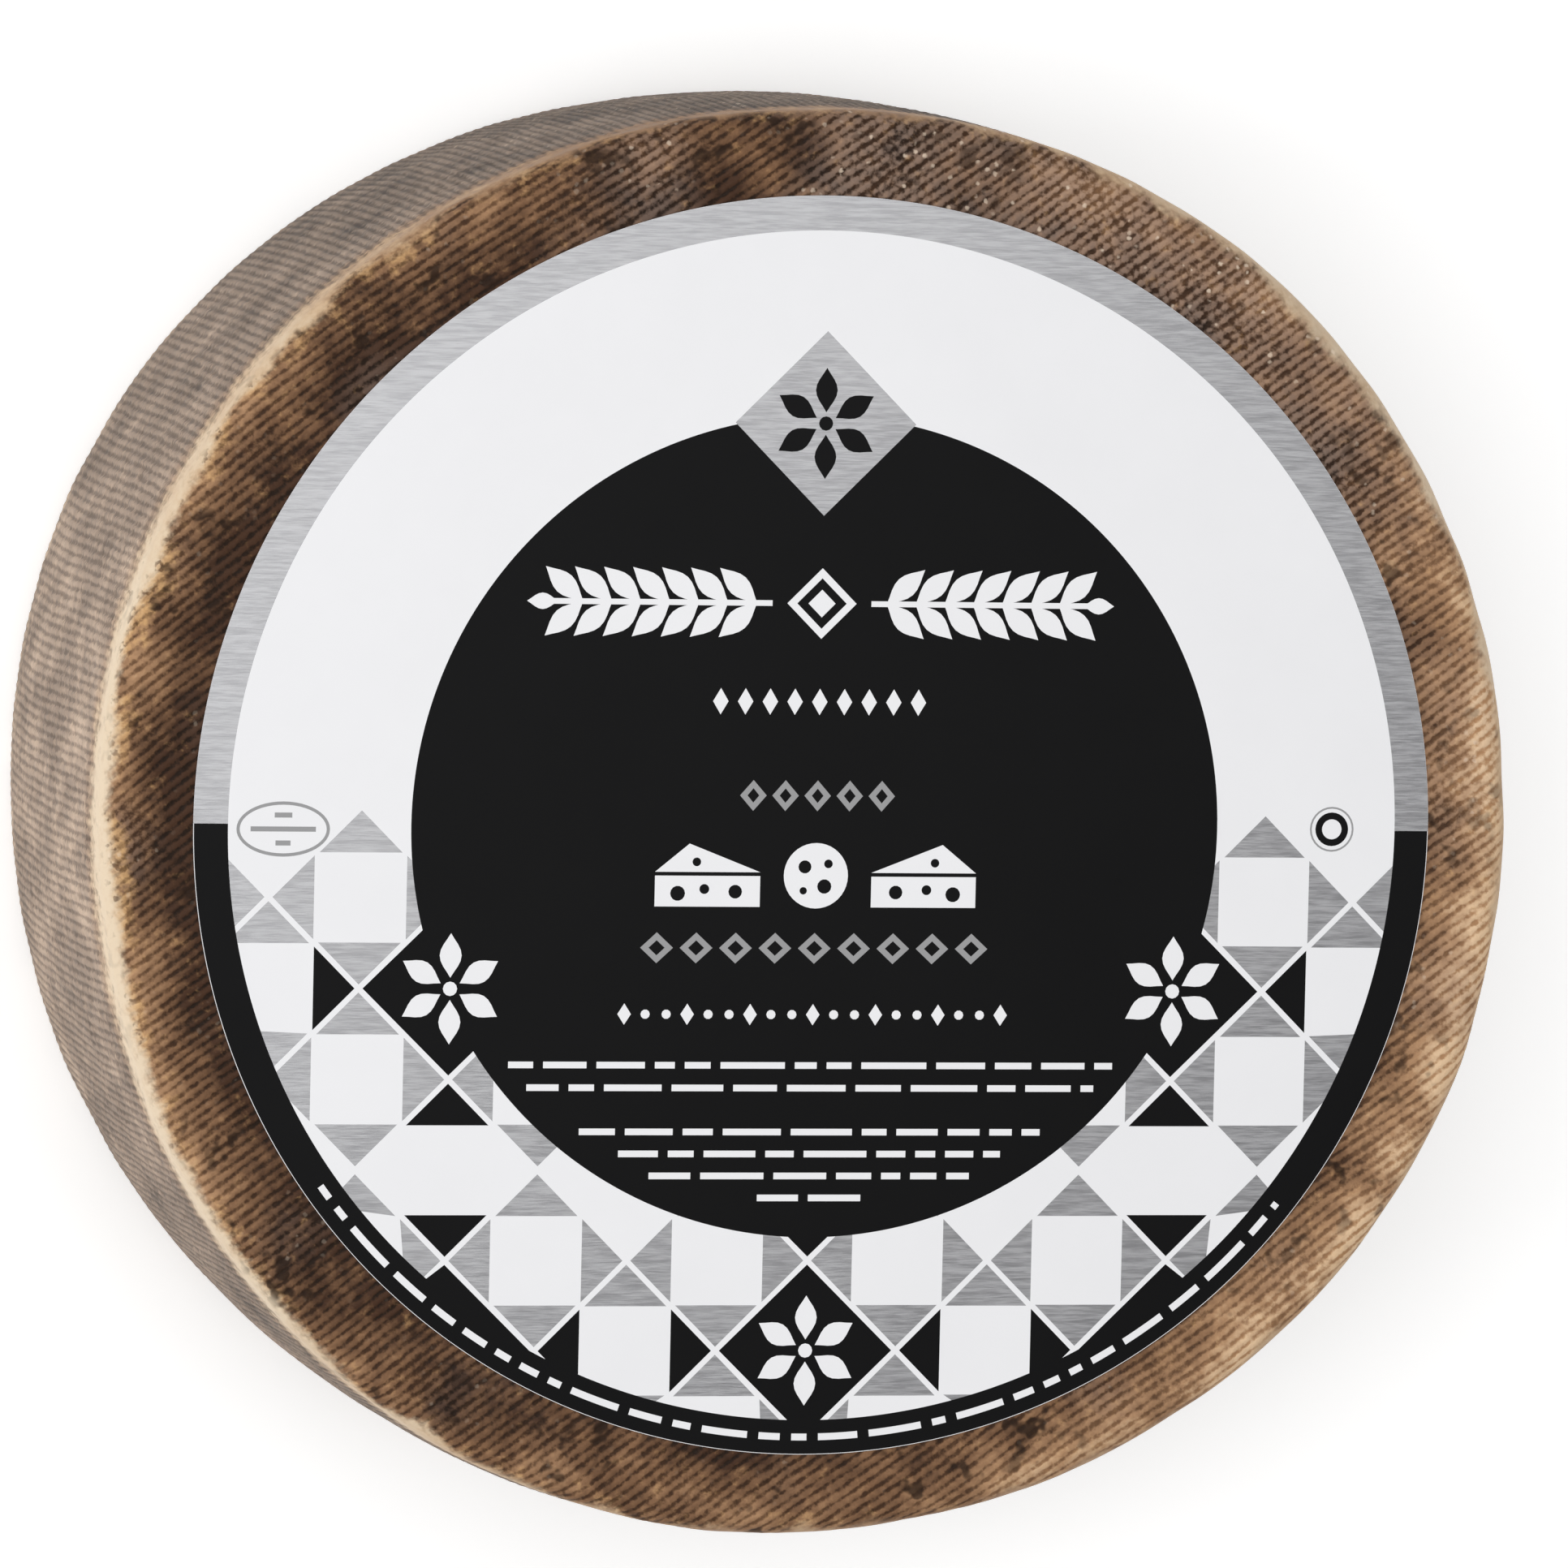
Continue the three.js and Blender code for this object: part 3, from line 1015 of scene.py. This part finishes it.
# the small oval at the left and the ring at the right
for grow, ink in ((1, GREY), (0.93, PAPER)):
    add_shape(oval(-0.857, -0.008, 0.0745 * grow, 0.0745 * grow - 0.031, 48), ink)
for y, half_width in ((0.014, 0.014), (-0.008, 0.052), (-0.03, 0.012)):
    add_shape(bar(-0.857, y, 2 * half_width, 0.008), GREY)
for radius, ink in ((0.036, GREY), (0.033, PAPER), (0.027, BLACK), (0.016, PAPER)):
    add_shape(oval(0.8414, 0.002, radius, radius, 28), ink)
print(len(print_shapes), "shapes in the print")

# %% [markdown]
# The pile of outlines is handed to the triangulation together with the rim of the disc. It answers which
# outlines lie over each triangle, and the highest number is the topmost shape.

# %% Mesh of the label
RIM_POINTS = 360


def label_mesh():
    """One closed disc: the printed top, a plain underside and the cut edge of the paper."""
    outlines = [oval(0, 0, 1, 1, RIM_POINTS)] + [points for points, ink in print_shapes]
    inks = np.array([PAPER] + [ink for points, ink in print_shapes])
    starts = np.cumsum([0] + [len(points) for points in outlines])
    flat = np.concatenate(outlines)
    loops = [list(range(first, last)) for first, last in zip(starts, starts[1:])]
    corners = [Vector(point) for point in flat]
    places, _, faces, _, _, covers = delaunay_2d_cdt(corners, [], loops, 1, 1e-6, True)
    ink_of_face = [inks[max(cover)] for cover in covers]
    places = np.array([tuple(place) for place in places])

    reach = np.hypot(places[:, 0], places[:, 1])
    rim = np.flatnonzero(reach > 1 - 1e-5)
    rim = rim[np.argsort(np.arctan2(places[rim, 1], places[rim, 0]))]
    top = np.column_stack([places * LABEL_RADIUS, np.full(len(places), label_high.z)])
    under = np.column_stack([places[rim] * LABEL_RADIUS, np.full(len(rim), label_low.z)])
    middle = np.array([[0, 0, label_low.z]])
    points = np.concatenate([top, under, middle]) + [LABEL_MIDDLE.x, LABEL_MIDDLE.y, 0]
    below = len(top) + np.arange(len(rim))
    wall = np.stack([rim, below, np.roll(below, -1), np.roll(rim, -1)], axis=1)
    base = np.stack([np.full(len(rim), len(points) - 1), np.roll(below, -1), below], axis=1)
    mesh = bpy.data.meshes.new("label")
    mesh.from_pydata(points.tolist(), [], faces + wall.tolist() + base.tolist())
    slots = ink_of_face + [PAPER] * (len(wall) + len(base))
    mesh.polygons.foreach_set("material_index", np.array(slots, np.int32))
    mesh.validate()
    return mesh


label = add_object("label", label_mesh())
print(len(label.data.vertices), "points", len(label.data.polygons), "faces")

# %% [markdown]
# Paper and inks. The coated paper is bright and half glossy. The black and the grey ink are flatter.
# The foil is brushed across the label, so it is a metal with fine streaks along X. All lie on one
# sheet, so all share the sheet's slow ripple, which the wet glue leaves.

# %% Label materials
RIPPLE_DEPTH = 0.0002


def ripple_group():
    """The slow ripple of glued paper, as a height in metres, with the paper's tooth on top."""
    group, given, out = new_group("ripple", "Height", Depth=RIPPLE_DEPTH)
    wide = noise(group, given["Place"], 28.0, 1.0, 0.4)
    fine = placed(group, tooth, given["Place"], Scale=2600.0, Depth=0.000006)
    slow = times(group, wide, given["Depth"])
    group.links.new(plus(group, slow, fine), out["Height"])
    return group


ripple = ripple_group()


def sheet_material(name, colour_low, colour_high, roughness, gloss):
    """An ink or the bare paper: a colour that clouds a little between two values, and the sheet's ripple."""
    material, tree, place = new_material(name)
    cloud = mottled(tree, place, 60.0, 1.2)
    height = placed(tree, ripple, place, Depth=RIPPLE_DEPTH)
    shaded(tree, {
        "Base Color": mixed(tree, cloud, colour_low, colour_high),
        "Roughness": roughness,
        "Specular IOR Level": gloss,
        "Normal": bumped(tree, height),
    })
    return material


def foil_material():
    """Brushed foil: streaks are noise drawn out along X, in the colour, the roughness and the bump."""
    material, tree, place = new_material("label_foil")
    streaks = noise(tree, stretched(tree, place, 0.06, 1.0, 1.0), 5200.0, 3.0, 0.65)
    bands = noise(tree, stretched(tree, place, 0.10, 1.0, 1.0, 5.0), 1500.0, 2.0, 0.6)
    both = plus(tree, times(tree, streaks, 0.5), times(tree, bands, 0.5))
    share = between(tree, both, 0.36, 0.64)
    height = placed(tree, ripple, place, Depth=RIPPLE_DEPTH)
    height = plus(tree, height, times(tree, both, 0.00002))
    shaded(tree, {
        "Base Color": mixed(tree, share, linear(136, 136, 138), linear(164, 164, 166)),
        "Metallic": 0.85,
        "Roughness": between(tree, both, 0.3, 0.7, 0.3, 0.4),
        "Normal": bumped(tree, height),
    })
    return material


PAPER_TONES = (linear(231, 231, 233), linear(236, 236, 238))
BLACK_TONES = (linear(9, 9, 10), linear(13, 13, 14))
GREY_TONES = (linear(146, 146, 147), linear(156, 156, 157))
inks = [sheet_material("label_paper", *PAPER_TONES, 0.4, 0.3), foil_material()]
inks += [sheet_material("label_black", *BLACK_TONES, 0.45, 0.08)]
inks += [sheet_material("label_grey", *GREY_TONES, 0.45, 0.2)]
for material in inks:
    label.data.materials.append(material)
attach(label, "root")
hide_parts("label")

# %% [markdown]
# The stage isn't part of the object. The floor is plain and pale, and glows a little, so that it stays
# nearly white under light that is soft enough for the rind.

# %% Floor
def floor_material():
    """A plain pale floor."""
    material, tree, place = new_material("floor")
    cloud = mottled(tree, place, 3.0, 0.6)
    colour = mixed(tree, cloud, linear(250, 250, 250), linear(252, 252, 252))
    shaded(tree, {
        "Base Color": colour,
        "Roughness": 0.7,
        "Specular IOR Level": 0.2,
        "Emission Color": colour,
        "Emission Strength": 0.3,
    })
    return material


FLOOR_HALF = 9.0
floor_mesh = bpy.data.meshes.new("floor")
floor_corners = FLOOR_HALF * np.array([(-1, -1, 0), (1, -1, 0), (1, 1, 0), (-1, 1, 0)])
floor_mesh.from_pydata(floor_corners.tolist(), [], [(0, 1, 2, 3)])
floor = add_object("floor", floor_mesh)
floor.data.materials.append(floor_material())

# %% [markdown]
# Soft studio light. One large box hangs over the wheel and faces straight down, so that the foil mirrors
# it most at the label's upper left. A smaller one stands at each side, and a pale world fills the shadows.

# %% Light
def add_softbox(name, position, size, watts):
    """A square area light at a place, aimed at the middle of the wheel."""
    data = bpy.data.lights.new(name, "AREA")
    data.size = size
    data.energy = watts
    lamp = add_object(name, data)
    lamp.location = position
    towards = Vector((0, 0, HEIGHT / 2)) - Vector(position)
    lamp.rotation_euler = towards.to_track_quat("-Z", "Y").to_euler()
    return lamp


top_box = add_softbox("top_softbox", (-0.21, 0.21, 1.25), 1.0, 8.5)
top_box.rotation_euler = (0, 0, math.radians(45))
add_softbox("left_softbox", (-1.3, -0.15, 0.6), 0.8, 8.0)
add_softbox("right_softbox", (1.2, -0.5, 1.1), 1.0, 3.5)
world = bpy.data.worlds.new("studio")
world.use_nodes = True
backdrop = world.node_tree.nodes["Background"].inputs
backdrop["Color"].default_value = (1, 1, 1, 1)
backdrop["Strength"].default_value = 0.33
scene.world = world
scene.view_settings.view_transform = "Standard"
